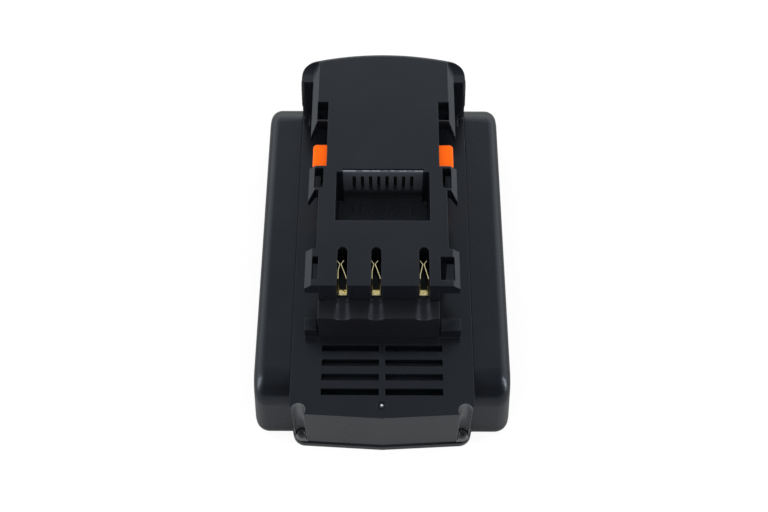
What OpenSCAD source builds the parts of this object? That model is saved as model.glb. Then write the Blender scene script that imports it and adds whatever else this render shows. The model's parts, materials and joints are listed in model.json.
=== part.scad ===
// Slide-on battery pack for a hand-held power tool: five cells in one row, a three-part casing,
// a rail tower with its contacts on top, and two sprung side latches worked by two release buttons.
// The pack stands on z = 0. +X is its right, +Y its rear (the hood end), and the nose points to -Y.

/* [Cells] */
// Diameter of one wrapped cell
cell_d = 18.4; // [18.2:0.1:18.8]
// Length of one cell over its button
cell_l = 65; // [64.5:0.1:65.5]
// Gap between neighbouring cells
cell_gap = 1; // [0.6:0.1:1.4]

/* [Casing] */
// Room from the cell ends to the outside of the body, on each side
side_room = 6.8; // [6.6:0.1:8]
// Room from the cell row to the outside of the body, at each end
end_room = 7.4; // [7:0.1:9]
// Thickness of the upright walls
wall = 2.2; // [1.8:0.1:2.4]
// Thickness of the tray floor
floor_t = 2; // [1.6:0.1:2.4]
// Height of the tray rim
rim_h = 3; // [2.8:0.1:3.4]
// Radius of the upright body corners at the base
corner_r = 4.5; // [3.5:0.1:6]
// Radius that rounds the body's front and rear into the shoulders
shoulder_r = 9.5; // [8:0.1:10]
// Radius along the outer edges of the shoulders
side_r = 3.8; // [3.2:0.1:4.6]
// How far the body sides lean in
side_lean = 0.9; // [0.4:0.1:1.2]
// How far the body ends lean in
end_lean = 1.4; // [0.6:0.1:1.8]
// Width of the flange that carries the top cover
flange_w = 3.6; // [2.5:0.1:5]
// Thickness of that flange
flange_t = 1.3; // [1:0.1:1.6]

/* [Centre strip] */
// Width of the strip that runs from nose to hood
strip_w = 55; // [54:0.2:57]
// Thickness of the strip's plate
plate_t = 2.3; // [1.9:0.1:2.8]
// Step of the strip above the shoulders
strip_step = 0.4; // [0.2:0.1:0.8]
// How far the nose stands out in front of the body
nose_out = 6.1; // [5.6:0.1:8]
// How far the strip stands out behind the body
hood_out = 2.1; // [1.9:0.1:3]
// Radius of the nose corners
nose_r = 4; // [3.6:0.1:4.6]
// How far the middle of the nose bows forward
nose_bow = 1.3; // [0.6:0.1:2]
// Radius of the strip's rear corners
rear_r = 6; // [4:0.1:6.4]
// Step from the tray rim in to the walls above it
rim_step = 0.4; // [0.2:0.1:0.6]
// Radius of the upright screw channels in the nose corners
channel_r = 2; // [2:0.1:2.4]

/* [Vents] */
// Rows of vent slots
vent_rows = 4; // [3:1:4]
// Length of one vent slot
vent_l = 17.2; // [12:0.2:18]
// Width of one vent slot
vent_w = 2.1; // [1.2:0.1:2.4]
// Spacing of the rows
vent_pitch = 4.7; // [4.2:0.05:4.8]
// Bar between the two columns of slots
vent_bar = 1.7; // [1.2:0.1:3]

/* [Rail tower] */
// Height of the tower above the strip
tower_rise = 21.4; // [21:0.1:23]
// Distance from the body's front to the tower's front face
tower_set = 26.4; // [26:0.1:28]
// Width over the rail hooks
hook_w = 45.2; // [44.6:0.1:46]
// Thickness of the hooks
hook_t = 4.5; // [4:0.1:5]
// Width of the chamfer on the hooks' outer edge
hook_chamfer = 2; // [1:0.1:2]
// Length of the front hooks
hook_front_l = 12.3; // [11.8:0.1:13]
// Distance from the tower's front face to the middle hooks
hook_mid_at = 32.9; // [32:0.1:33.2]
// Length of the middle hooks
hook_mid_l = 8.8; // [8.6:0.1:9.2]
// Length of the rear hooks in front of the hood
hook_rear_l = 16.8; // [16.4:0.1:17.4]
// How far the middle hooks' lips reach forward
hook_mid_lead = 3.2; // [1:0.1:4]
// How far the rear hooks' lips reach forward
hook_rear_lead = 5; // [1:0.1:5.4]
// Half width of the tower between the front and middle hooks
core_mid = 19.4; // [19:0.1:19.8]
// Half width of the tower beside the latches
core_rear = 17.3; // [17:0.1:17.6]
// Thickness of the tower's walls
tower_wall = 2; // [1.6:0.1:2.2]
// Length of the hood, from its front face to the body's rear
hood_l = 9.9; // [9.8:0.1:10.4]
// Radius of the hood's rounded top edge
hood_r = 2.4; // [1.6:0.1:3]
// Length of the level shelves in the hood's top, in line with the rear hooks
shelf_l = 2.6; // [1.6:0.1:3]
// Radius of the hollow in which these shelves run out
shelf_r = 6; // [3:0.1:8]
// Radius of the fillet at the foot of the hood's front face
foot_r = 3.4; // [2:0.1:3.6]
// Radius of the hood's upright front corners
hood_corner_r = 2.5; // [1.5:0.1:3]
// Drop from the tower top to the ledge in front of it
ledge_drop = 9; // [8.6:0.1:9.6]
// Depth of the ledge in front of the tower
ledge_l = 6; // [5:0.1:6.4]

/* [Contacts] */
// Width of one terminal slot
slot_w = 3; // [2.8:0.1:3.4]
// Length of a terminal slot from the tower's front face
slot_l = 12.9; // [12.5:0.1:13.2]
// Thickness of the terminal spring leaves
leaf_t = 0.4; // [0.3:0.05:0.5]
// Width of the connector recess
recess_w = 28.4; // [28:0.1:29]
// Length of the connector recess
recess_l = 17.5; // [17:0.1:17.8]
// Distance from the tower's front face to the recess
recess_at = 22; // [22:0.1:22.6]
// Depth of the recess
recess_d = 16; // [15:0.1:16.4]
// Width of the comb at the rear of the recess
comb_w = 24.6; // [24.2:0.1:25.4]
// Spacing of the signal contacts
pin_pitch = 2.54; // [2:0.02:2.6]
// Number of signal contacts
pin_count = 8; // [4:1:8]

/* [Latches] */
// Distance from the tower's front face to the latch tongues
latch_at = 43.7; // [43.4:0.1:44]
// Width of a latch tongue
latch_w = 8.2; // [7.6:0.1:8.6]
// Height of a latch tongue
latch_h = 5; // [4.4:0.1:5.4]
// Distance from the pack's middle to the end of a tongue
latch_reach = 21.8; // [20.5:0.1:22.4]
// Travel of a latch and its button
latch_travel = 2.4; // [1.6:0.1:2.5]
// Length of a release button along the hood's side
button_l = 6; // [5.4:0.1:6.2]
// Height of a release button
button_h = 13; // [11:0.1:13.6]
// How far a release button stands out of the hood's side
button_proud = 0.3; // [0.1:0.05:0.35]
// Outer diameter of a latch spring
spring_d = 4.4; // [4:0.1:4.8]
// Wire diameter of a latch spring
spring_wire = 0.5; // [0.4:0.05:0.6]
// Turns of a latch spring
spring_turns = 6; // [5:1:7]

/* [Clearances] */
// Gap at the seams between casings
seam = 0.1; // [0.05:0.05:0.2]
// Gap round pieces that sit in a seat
fit = 0.15; // [0.1:0.05:0.2]
// Gap round pieces that slide
run = 0.25; // [0.2:0.05:0.3]
// Gap left between faces that rest on each other
touch = 0.05; // [0.02:0.01:0.08]

/* [Screws and board] */
// Shank diameter of the casing screws
screw_d = 2; // [1.8:0.1:2.2]
// Head diameter of the casing screws
screw_head_d = 3.7; // [3.4:0.1:3.8]
// Head height of the casing screws
screw_head_h = 1.6; // [1.2:0.1:1.8]
// Thickness of the circuit board
board_t = 1.6; // [1:0.1:1.8]
// Width of the circuit board
board_w = 29; // [28:0.2:30]
// Thickness of the nickel strip between cells
strip_t = 0.25; // [0.15:0.05:0.3]

/* [Hidden] */

$fn = 48;
eps = 0.5;
// Overlap that joins the shapes of one piece
sink = 0.1;
SIDES = [-1, 1];

// Lengths and places along Y
cell_count = 5;
cell_pitch = cell_d + cell_gap;
body_w = cell_l + 2 * side_room;
body_l = cell_count * cell_pitch + 2 * end_room;
pack_l = nose_out + body_l + hood_out;
y_front = -pack_l / 2;
y_rear = pack_l / 2;
body_y0 = y_front + nose_out;
body_y1 = y_rear - hood_out;
body_yc = (body_y0 + body_y1) / 2;
tower_y0 = body_y0 + tower_set;
hood_y0 = body_y1 - hood_l;
slot_y1 = tower_y0 + slot_l;
recess_y0 = tower_y0 + recess_at;
recess_y1 = recess_y0 + recess_l;
hook_mid_y0 = tower_y0 + hook_mid_at;
hook_mid_y1 = hook_mid_y0 + hook_mid_l;
hook_rear_y0 = hood_y0 - hook_rear_l;
latch_y0 = tower_y0 + latch_at;
latch_y1 = latch_y0 + latch_w;
latch_yc = latch_y0 + latch_w / 2;

// Heights, stacked from the tray floor up
cradle_gap = 0.9;
cell_z = floor_t + cradle_gap + cell_d / 2;
cell_room = 0.4;
ceiling_z = cell_z + cell_d / 2 + cell_room;
flange_z = ceiling_z + flange_t;
plate_z0 = flange_z + seam;
plate_z = plate_z0 + plate_t;
shoulder_h = plate_z - strip_step;
pack_h = plate_z + tower_rise;
ledge_z = pack_h - ledge_drop;
hook_z = pack_h - hook_t;
shelf_z = pack_h - 0.9 * hook_chamfer;
recess_z = pack_h - recess_d;
board_lift = 1.5;
board_z = plate_z0 + board_lift;
board_top = board_z + board_t;
seat_t = 1.6;
seat_z = rim_h + seam + seat_t;

// Widths of the tower's front part, which is not symmetrical
core_left = 18.7;
core_right = 16.7;
block_z = plate_z + 4.6;

// Small named sizes
vent_y0 = body_y0 + 2.6;
channel_x = strip_w / 2 - 3.1;
channel_y = y_front + nose_bow + 1.7;
rear_screw_x = body_w / 2 - 5.9;
rear_screw_y = body_y1 - 4.9;
rear_boss_r = 2.8;
head_seat = screw_head_h + 0.2;
rear_boss_z = rim_h + 7;
ceiling_t = 2.2;
cavity_top = pack_h - ceiling_t;
recess_wall = 1.5;
holder_y1 = slot_y1 + 1.6;
connector_y1 = recess_y1 + 3.6;
comb_step = 1.8;
comb_z = recess_z + 5.9;
lip_l = 0.9;
pin_w = 0.7;
blade_w = 2.2;
blade_t = 0.8;
blade_y = tower_y0 + 2.5;
pin_slot_w = 1;
pin_slot_d = 3;
pin_t = 1.15;
slot_end = 0.3;
latch_top = hook_z + 1.3;
latch_z = latch_top - latch_h;
rib_t = 2;
spring_spare = 2.6;
slider_x0 = rib_t / 2 + spring_turns * spring_wire + latch_travel + spring_spare;
spigot_d = spring_d - 2 * spring_wire - 0.4;
spigot_l = 1.2;
arm_x0 = slider_x0 + 1;
arm_w = 3;
lug_l = 4;
lug_h = 4;
lug_z = latch_z - 5;
hood_in = strip_w / 2 - 8;
hood_end = body_y1 - 1.5;
button_y0 = hood_y0 + tower_wall;
button_z = plate_z + 3;
button_back = hood_in + latch_travel;
lug_y0 = button_y0 + (button_l - lug_l) / 2;
post_r = 2.4;
post_front_x = 8;
post_front_y = recess_y0 - 4.6;
post_rear_x = 4;
post_rear_y = body_y1 - 9.4;
board_y0 = tower_y0 + tower_wall + run;
board_y1 = body_y1 - 5.9;
board_screw_d = 2;
board_screw_l = 7;
board_hole_l = board_screw_l + 1;
board_head_d = 3.6;
board_head_h = 1.2;
frame_wall = 1;
frame_depth = 6.5;
frame_top = ceiling_z - 1.7;
link_x = cell_l / 2 + fit + frame_wall + seam;
weld_d = 7;
tab_w = 4.4;
link_w = 8;
link_end = 5;
paper_t = 0.3;
tab_shift = 2.1;
riser_x = 12;

function cell_y(i) = body_yc + (i - (cell_count - 1) / 2) * cell_pitch;
function pin_x(i) = (i - (pin_count - 1) / 2) * pin_pitch;
TERMINALS = [-11.7, -1.8, 12.2];

PLASTIC = [0.18, 0.19, 0.22];
SHELL = [0.15, 0.16, 0.19];
DARK = [0.09, 0.09, 0.11];
ORANGE = [1, 0.41, 0.1];
GOLD = [0.8, 0.62, 0.26];
STEEL = [0.7, 0.7, 0.72];
NICKEL = [0.75, 0.73, 0.68];

// Shapes shared by several pieces

// Rectangle with true round corners
module rounded_rect(w, l, r) {
    square([w - 2 * r, l], center = true);
    square([w, l - 2 * r], center = true);
    for (sx = SIDES, sy = SIDES)
        translate([sx * (w / 2 - r), sy * (l / 2 - r)])
            circle(r);
}

// Rounded body form, grown evenly by g and carried on below the tray's rim by drop: balls swept on
// quarter arcs round its front and rear, over upright corners
module body_form(g, drop) {
    arc_r = shoulder_r - side_r;
    arc_z = shoulder_h - shoulder_r;
    arc_y0 = body_y0 + end_lean + shoulder_r;
    arc_y1 = body_y1 - end_lean - shoulder_r;
    hull() {
        for (sx = SIDES, a = [0:11.25:90], y = [arc_y0 - arc_r * cos(a), arc_y1 + arc_r * cos(a)])
            translate([sx * (body_w / 2 - side_lean - side_r), y, arc_z + arc_r * sin(a)])
                sphere(side_r + g, $fn = 32);
        for (sx = SIDES, y = [body_y0 + corner_r, body_y1 - corner_r])
            translate([sx * (body_w / 2 - corner_r), y, rim_h - drop])
                cylinder(r = corner_r + g, h = drop + sink, $fn = 40);
    }
}

// Plan of the centre strip, set in by d: a bowed nose with round corners, and a square rear end
module strip_plan(d) {
    hw = strip_w / 2 - d;
    nose_x = strip_w / 2 - nose_r;
    nose_y = y_front + nose_bow + nose_r;
    rear_x = strip_w / 2 - rear_r;
    half = [[0, y_front + d], [nose_x, nose_y - nose_r + d], [hw, nose_y],
        [hw, y_rear - rear_r], [rear_x, y_rear - d]];
    polygon([for (p = half) p, for (i = [4:-1:1]) [-half[i].x, half[i].y]]);
    for (sx = SIDES) {
        translate([sx * nose_x, nose_y])
            circle(nose_r - d);
        translate([sx * rear_x, y_rear - rear_r])
            circle(rear_r - d);
    }
}

// Screw with a pan head, its seat at z = 0 and its shank running down
module screw(shank_d, shank_l, head_d, head_h) {
    translate([0, 0, -shank_l])
        cylinder(d = shank_d, h = shank_l + head_h / 2);
    difference() {
        cylinder(d1 = head_d, d2 = head_d - 0.6, h = head_h);
        translate([0, 0, head_h / 2])
            cylinder(d = head_d * 0.45, h = head_h, $fn = 6);
    }
}

// The row of cell cylinders, grown by g, for pockets and cradles
module cell_row(g) {
    for (i = [0:cell_count - 1])
        translate([0, cell_y(i), cell_z])
            rotate([0, 90, 0])
                cylinder(r = cell_d / 2 + g, h = cell_l + 2 * fit, center = true);
}

// Casings

module bottom_tray() {
    tongue = wall + run + sink;
    tongue_t = 1.2;
    tongue_h = 2;
    tongue_r = corner_r - 1;
    inside = tongue + tongue_t;
    screw_floor = 0.8;
    cradle_x = cell_l / 2 - 14;
    cradle_t = 1.6;
    cradle_y0 = cell_y(0) - cell_pitch / 2;
    cradle_h = 4;
    color(SHELL)
        difference() {
            union() {
                linear_extrude(rim_h)
                    difference() {
                        union() {
                            translate([0, body_yc])
                                rounded_rect(body_w, body_l, corner_r);
                            strip_plan(0);
                        }
                        translate([0, body_yc])
                            rounded_rect(body_w - 2 * inside, body_l - 2 * inside, tongue_r);
                    }
                linear_extrude(floor_t)
                    translate([0, body_yc])
                        rounded_rect(body_w - 1, body_l - 1, corner_r);
                linear_extrude(rim_h + tongue_h)
                    translate([0, body_yc])
                        difference() {
                            rounded_rect(body_w - 2 * tongue, body_l - 2 * tongue, tongue_r);
                            rounded_rect(body_w - 2 * inside, body_l - 2 * inside, tongue_r);
                        }
                for (sx = SIDES) {
                    difference() {
                        translate([sx * cradle_x - cradle_t / 2, cradle_y0, floor_t - sink])
                            cube([cradle_t, cell_count * cell_pitch, cradle_h]);
                        cell_row(fit);
                    }
                    translate([sx * rear_screw_x, rear_screw_y, 0])
                        cylinder(r = rear_boss_r, h = rim_h);
                }
            }
            for (sx = SIDES) {
                translate([sx * channel_x, channel_y, screw_floor])
                    cylinder(d = screw_d + 2 * seam, h = rim_h);
                translate([sx * rear_screw_x, rear_screw_y, -eps])
                    cylinder(d = screw_d + 2 * run, h = rim_h + 2 * eps);
                translate([sx * rear_screw_x, rear_screw_y, -eps])
                    cylinder(d = screw_head_d + 2 * fit, h = head_seat + eps);
                // The tongue and the tray make room for the housing's screw bosses
                translate([sx * rear_screw_x, rear_screw_y, rim_h])
                    cylinder(r = rear_boss_r + fit, h = rim_h);
            }
        }
}

module main_housing() {
    open_w = strip_w - 2 * flange_w;
    open_front = 9.5;
    open_rear = 5.5;
    color(SHELL)
        difference() {
            union() {
                difference() {
                    body_form(0, 0);
                    intersection() {
                        body_form(-wall, 1);
                        translate([-body_w, -pack_l, -eps])
                            cube([2 * body_w, 2 * pack_l, ceiling_z + eps]);
                    }
                }
                for (sx = SIDES)
                    translate([sx * rear_screw_x, rear_screw_y, rim_h + seam])
                        cylinder(r = rear_boss_r, h = rear_boss_z - rim_h);
            }
            translate([-strip_w / 2 + rim_step - seam, body_y0 - 1, flange_z])
                cube([strip_w - 2 * (rim_step - seam), body_l + 2, pack_h]);
            translate([-open_w / 2, body_y0 + open_front, ceiling_z - 1])
                cube([open_w, body_l - open_front - open_rear, pack_h]);
            for (sx = SIDES)
                translate([sx * rear_screw_x, rear_screw_y, 0])
                    cylinder(d = screw_d + 2 * seam, h = rear_boss_z - 2);
        }
}

// One right-hand rail hook: a lip under the tower's top that reaches forward, chamfered outside
module hook(y_body, lead, y_end) {
    x_in = core_rear - tower_wall / 2;
    x_out = hook_w / 2;
    intersection() {
        translate([0, 0, hook_z])
            linear_extrude(hook_t)
                polygon([[x_in, y_body], [x_out - hook_chamfer, y_body], [x_out, y_body - lead],
                    [x_out, y_end], [x_in, y_end]]);
        translate([0, y_end, 0])
            rotate([90, 0, 0])
                linear_extrude(y_end - y_body + lead)
                    polygon([[x_in, hook_z], [x_out, hook_z], [x_out, shelf_z],
                        [x_out - hook_chamfer, pack_h], [x_in, pack_h]]);
    }
}

// Plan of the hood's front: square behind, with round corners in front
module hood_front() {
    half = strip_w / 2;
    translate([-half, hood_y0 + hood_corner_r])
        square([strip_w, pack_l]);
    translate([-half + hood_corner_r, hood_y0])
        square([strip_w - 2 * hood_corner_r, pack_l]);
    for (sx = SIDES)
        translate([sx * (half - hood_corner_r), hood_y0 + hood_corner_r])
            circle(hood_corner_r);
}

// Hood: walls that lean in from the strip to a bowed rear edge and a round top edge
module hood_form() {
    bow_r = 90;
    plan_r = 6;
    side_lean = 0.7;
    rear_lean = 0.6;
    top_half = strip_w / 2 - rim_step - side_lean;
    apex = y_rear - rim_step - rear_lean;
    corner_x = top_half - plan_r;
    corner_y = apex - bow_r + sqrt(pow(bow_r - plan_r, 2) - corner_x * corner_x);
    slice = 0.02;
    intersection() {
        linear_extrude(pack_h)
            hood_front();
        hull() {
            translate([0, 0, plate_z - 1])
                linear_extrude(1)
                    intersection() {
                        strip_plan(rim_step);
                        translate([-strip_w / 2, hood_y0 - 1])
                            square([strip_w, pack_l]);
                    }
            for (a = [0:22.5:90]) {
                inset = hood_r * (1 - cos(a));
                translate([0, 0, pack_h - hood_r * (1 - sin(a)) + sink - slice])
                    linear_extrude(slice) {
                        for (sx = SIDES)
                            translate([sx * corner_x, corner_y])
                                circle(plan_r - inset, $fn = 40);
                        intersection() {
                            translate([0, apex - bow_r])
                                circle(bow_r - inset, $fn = 240);
                            translate([-corner_x, corner_y])
                                square([2 * corner_x, plan_r * 2]);
                        }
                        translate([-top_half + inset, hood_y0 - 1])
                            square([2 * (top_half - inset), 1]);
                    }
            }
        }
    }
}

// Right-hand shelf cut from the hood's top: it carries on the rear hook's chamfer and runs out in a hollow
module hood_shelf() {
    x_out = hook_w / 2;
    above = pack_h + 1;
    intersection() {
        translate([0, y_rear, 0])
            rotate([90, 0, 0])
                linear_extrude(y_rear - hood_y0 + 1)
                    polygon([[x_out, shelf_z], [x_out - hook_chamfer, pack_h], [x_out - hook_chamfer, above],
                        [strip_w, above], [strip_w, shelf_z]]);
        rotate([90, 0, 90])
            linear_extrude(strip_w)
                union() {
                    translate([hood_y0 - 1, shelf_z])
                        square([shelf_l + 1, above - shelf_z]);
                    translate([hood_y0 + shelf_l, shelf_z + shelf_r])
                        circle(shelf_r);
                }
    }
}

// Concave fillet from the strip up to the hood's front face, from x0 to x1
module hood_foot(x0, x1) {
    translate([x0, hood_y0, plate_z])
        rotate([90, 0, 90])
            linear_extrude(x1 - x0)
                difference() {
                    translate([-foot_r, -1])
                        square([foot_r + sink, foot_r + 1]);
                    translate([-foot_r, foot_r])
                        circle(foot_r);
                }
}

// Walls of the nose and of the rear end, cut back to the body that they stand against
module strip_ends() {
    difference() {
        translate([0, 0, rim_h + seam])
            linear_extrude(plate_z0 - rim_h)
                difference() {
                    strip_plan(rim_step);
                    difference() {
                        strip_plan(rim_step + wall);
                        for (sx = SIDES)
                            translate([sx * channel_x, channel_y])
                                circle(channel_r + 1.6);
                    }
                }
        body_form(seam, 1);
    }
}

// Solid outline of the tower: core, hooks, front blocks and hood
module tower_solid() {
    low = plate_z - 1;
    rise = pack_h - low;
    front_y1 = tower_y0 + hook_front_l;
    block_l = 4;
    translate([-core_left, tower_y0, low])
        cube([core_left + core_right, hook_front_l + 1, rise]);
    translate([-core_mid, front_y1, low])
        cube([2 * core_mid, hook_mid_y1 - front_y1, rise]);
    translate([-core_rear, hook_mid_y1 - 1, low])
        cube([2 * core_rear, hood_y0 - hook_mid_y1 + 2, rise]);
    for (s = SIDES)
        mirror([s < 0 ? 1 : 0, 0, 0]) {
            hook(tower_y0, 0, front_y1);
            hook(hook_mid_y0, hook_mid_lead, hook_mid_y1);
            hook(hook_rear_y0, hook_rear_lead, hood_y0 + sink);
            hood_foot(hook_w / 2 - 1, strip_w / 2 - hood_corner_r);
        }
    translate([-core_left - 4.6, tower_y0 - ledge_l, low])
        cube([3.6, block_l, block_z - low]);
    translate([core_right + 0.8, tower_y0 - ledge_l, low])
        cube([6, block_l, block_z - low]);
    difference() {
        hood_form();
        for (s = SIDES)
            mirror([s < 0 ? 1 : 0, 0, 0])
                hood_shelf();
    }
}

// Pockets through the tops of the hooks
module hook_pockets() {
    depth = hook_t + eps;
    low = hook_z - eps;
    for (s = SIDES)
        mirror([s < 0 ? 1 : 0, 0, 0]) {
            translate([core_rear, hook_rear_y0 + 0.4, low])
                cube([hook_w / 2 - 1.9 - core_rear, 7.1, depth + eps]);
            translate([core_mid - 1.3, hook_mid_y0 + 0.7, low])
                cube([2.7, 7.3, depth + eps]);
        }
    translate([-core_left - 1.8, tower_y0 + 1.9, low])
        cube([1.8, 7.8, depth + eps]);
    translate([core_right + 0.2, tower_y0 + 1.9, low])
        cube([4.1, 7.8, depth + eps]);
}

// Hollow inside of the tower and hood
module tower_cavity() {
    low = ceiling_z - eps;
    front_w = core_left + core_right - 2 * tower_wall;
    mid_l = hook_mid_y1 - 1 - tower_wall - holder_y1;
    translate([-core_left + tower_wall, tower_y0 - eps, plate_z])
        cube([front_w, holder_y1 + fit - tower_y0 + eps, ledge_z + seam - plate_z]);
    translate([-core_left + tower_wall, tower_y0 + tower_wall, low])
        cube([front_w, holder_y1 - tower_y0, ledge_z - low]);
    translate([-core_mid + tower_wall, holder_y1, low])
        cube([2 * (core_mid - tower_wall), mid_l, cavity_top - low]);
    translate([-core_rear + tower_wall, holder_y1, low])
        cube([2 * (core_rear - tower_wall), button_y0 - holder_y1 + 1, cavity_top - low]);
    translate([-hood_in, button_y0, low])
        cube([2 * hood_in, hood_end - button_y0, cavity_top - low]);
}

// Walls of the connector recess, the latch rib and the board posts, all hung from the tower's top
module tower_fittings() {
    half = recess_w / 2 + recess_wall;
    translate([-half, recess_y0 - recess_wall, recess_z - recess_wall])
        cube([2 * half, recess_l + recess_wall + comb_step, pack_h - recess_z + recess_wall - eps]);
    translate([-rib_t / 2, connector_y1 + fit, latch_z - 1])
        cube([rib_t, latch_y1 - connector_y1, cavity_top - latch_z + 2]);
    for (s = SIDES)
        translate([s * rib_t / 2, latch_yc, latch_z + latch_h / 2])
            rotate([0, s * 90, 0])
                cylinder(d = spigot_d, h = spigot_l);
    for (sx = SIDES) {
        translate([sx * post_front_x, post_front_y, board_top + touch])
            cylinder(r = post_r, h = cavity_top - board_top + 1);
        translate([sx * post_rear_x, post_rear_y, board_top + touch])
            cylinder(r = post_r, h = cavity_top - board_top + 1);
    }
}

// Cuts that open the tower: recess, terminal slots, the windows of the latches and the button wells
module tower_openings() {
    low = recess_z - recess_wall - eps;
    comb_hole = comb_w + 2 * fit;
    translate([-recess_w / 2, recess_y0, low])
        cube([recess_w, recess_l, pack_h + eps - low]);
    translate([-comb_hole / 2, recess_y0 + eps, low])
        cube([comb_hole, recess_l - eps + lip_l + fit, pack_h + eps - low]);
    translate([-comb_hole / 2, recess_y0 + eps, low])
        cube([comb_hole, connector_y1 + fit - recess_y0 - eps, cavity_top - low]);
    for (x = TERMINALS) {
        translate([x - slot_w / 2, tower_y0 - eps, ledge_z])
            cube([slot_w, slot_l - slot_w / 2 + eps, ledge_drop + eps]);
        translate([x, slot_y1 - slot_w / 2, ledge_z])
            cylinder(d = slot_w, h = ledge_drop + eps);
    }
    for (s = SIDES)
        mirror([s < 0 ? 1 : 0, 0, 0]) {
            translate([core_rear - tower_wall - eps, latch_y0 - run, latch_z - run])
                cube([tower_wall + 2 * eps, latch_w + 2 * run, latch_h + 2 * run]);
            button_prism(hood_in - eps, run);
        }
    for (sx = SIDES) {
        translate([sx * post_front_x, post_front_y, board_z])
            cylinder(d = board_screw_d + 2 * seam, h = board_hole_l);
        translate([sx * post_rear_x, post_rear_y, board_z])
            cylinder(d = board_screw_d + 2 * seam, h = board_hole_l);
    }
}

// Vent slots and the small gate dimple in the strip's front part
module strip_openings() {
    gate_y = y_front + 4.1;
    gate_d = 0.5;
    for (row = [0:vent_rows - 1], s = SIDES)
        translate([s * (vent_bar + vent_l) / 2, vent_y0 + row * vent_pitch, plate_z0 - eps])
            linear_extrude(plate_t + 2 * eps)
                square([vent_l, vent_w], center = true);
    difference() {
        translate([0, gate_y, plate_z - gate_d])
            cylinder(r = 1.5, h = 2 * gate_d);
        translate([0, gate_y, plate_z - 2 * gate_d])
            cylinder(r = 0.5, h = 2 * gate_d - sink);
    }
}

module top_cover() {
    color(PLASTIC)
        difference() {
            union() {
                difference() {
                    union() {
                        translate([0, 0, plate_z0])
                            linear_extrude(plate_t)
                                strip_plan(rim_step);
                        tower_solid();
                    }
                    tower_cavity();
                }
                tower_fittings();
                strip_ends();
            }
            tower_openings();
            hook_pockets();
            strip_openings();
            for (sx = SIDES) {
                translate([sx * channel_x, channel_y, seat_z])
                    cylinder(r = channel_r, h = pack_h);
                translate([sx * channel_x, channel_y, 0])
                    cylinder(d = screw_d + 2 * run, h = seat_z + eps);
            }
        }
}

// Contacts on the tower

module terminal_holder() {
    front_l = ledge_l - seam;
    inner_z = board_top + 0.5;
    groove_front = 2.7;
    groove_rear = 2.2;
    groove_rise = 1.4;
    color(DARK)
        difference() {
            union() {
                translate([-core_left - 0.2, tower_y0 - ledge_l, plate_z + touch])
                    cube([core_left + core_right + 0.3, front_l, ledge_z - plate_z - touch]);
                translate([-core_left + tower_wall + fit, tower_y0 - eps, inner_z])
                    cube([core_left + core_right - 2 * (tower_wall + fit), holder_y1 - tower_y0 + eps,
                        ledge_z - inner_z]);
            }
            for (x = TERMINALS) {
                translate([x, tower_y0 - ledge_l, ledge_z + groove_rise])
                    rotate([-90, 0, 0])
                        cylinder(r1 = groove_front, r2 = groove_rear, h = front_l + eps);
                translate([x - blade_w / 2 - fit, blade_y - seam, board_top])
                    cube([blade_w + 2 * fit, blade_t + 2 * seam, pack_h]);
            }
        }
}

// Two spring leaves that pinch at the middle and flare again, on one foot with a solder blade below
module terminal(x) {
    foot_y = tower_y0 + 1;
    foot_t = 0.5;
    foot_w = slot_w - 2 * fit;
    leaf_h = 6.6;
    pinch_y = tower_y0 + 9.5;
    flare_y = tower_y0 + 10.9;
    bend_y = tower_y0 + 4.2;
    pinch = 0.1;
    flare = 0.9;
    leaf_y = foot_y + 1.8;
    half = foot_w / 2;
    color(GOLD)
        translate([x, 0, ledge_z + touch]) {
            translate([-half, foot_y, 0])
                cube([foot_w, 3.4, foot_t]);
            for (s = SIDES)
                mirror([s < 0 ? 1 : 0, 0, 0])
                    linear_extrude(leaf_h)
                        polygon([[half - leaf_t, leaf_y], [half, leaf_y], [half, bend_y],
                            [pinch + leaf_t, pinch_y], [flare, flare_y], [flare - leaf_t, flare_y],
                            [pinch, pinch_y], [half - leaf_t, bend_y]]);
            translate([-blade_w / 2, blade_y, board_top - ledge_z])
                cube([blade_w, blade_t, ledge_z - board_top + foot_t / 2]);
        }
}

module terminal_negative() {
    terminal(TERMINALS[0]);
}

module terminal_sense() {
    terminal(TERMINALS[1]);
}

module terminal_positive() {
    terminal(TERMINALS[2]);
}

module data_connector() {
    half = comb_w / 2;
    flange_half = recess_w / 2 - fit;
    floor_rib = [0.6, 3.3, 0.5];
    rib_y = recess_y1 - 5.7;
    sill = [comb_w, comb_step, 0.5];
    neck_y = recess_y1 + comb_step;
    back_l = connector_y1 - recess_y1;
    lip_z = pack_h - seam - lip_l / 2;
    color(DARK)
        difference() {
            union() {
                translate([-flange_half, recess_y0 + fit, recess_z - recess_wall])
                    cube([2 * flange_half, recess_l - 2 * fit, recess_wall]);
                for (i = [0:pin_count - 1])
                    translate([pin_x(i) - floor_rib.x / 2, rib_y, recess_z - sink])
                        cube(floor_rib);
                translate([-half, recess_y1 - comb_step, recess_z - sink])
                    cube(sill);
                translate([-half, neck_y, recess_z - recess_wall])
                    cube([comb_w, connector_y1 - neck_y, comb_z - recess_z + recess_wall + sink]);
                translate([-half, recess_y1 - 1, recess_z - recess_wall])
                    cube([comb_w, back_l + 1, recess_wall]);
                translate([-half, recess_y1, comb_z])
                    cube([comb_w, back_l, cavity_top - fit - comb_z]);
                translate([-half, recess_y1, comb_z])
                    cube([comb_w, lip_l, lip_z - comb_z]);
                translate([-half, recess_y1 + lip_l / 2, lip_z])
                    rotate([0, 90, 0])
                        cylinder(d = lip_l, h = comb_w);
            }
            for (i = [0:pin_count - 1])
                translate([pin_x(i) - pin_slot_w / 2, recess_y1 - eps, comb_z - eps])
                    cube([pin_slot_w, pin_slot_d + eps, cavity_top - slot_end - comb_z + eps]);
        }
}

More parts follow.
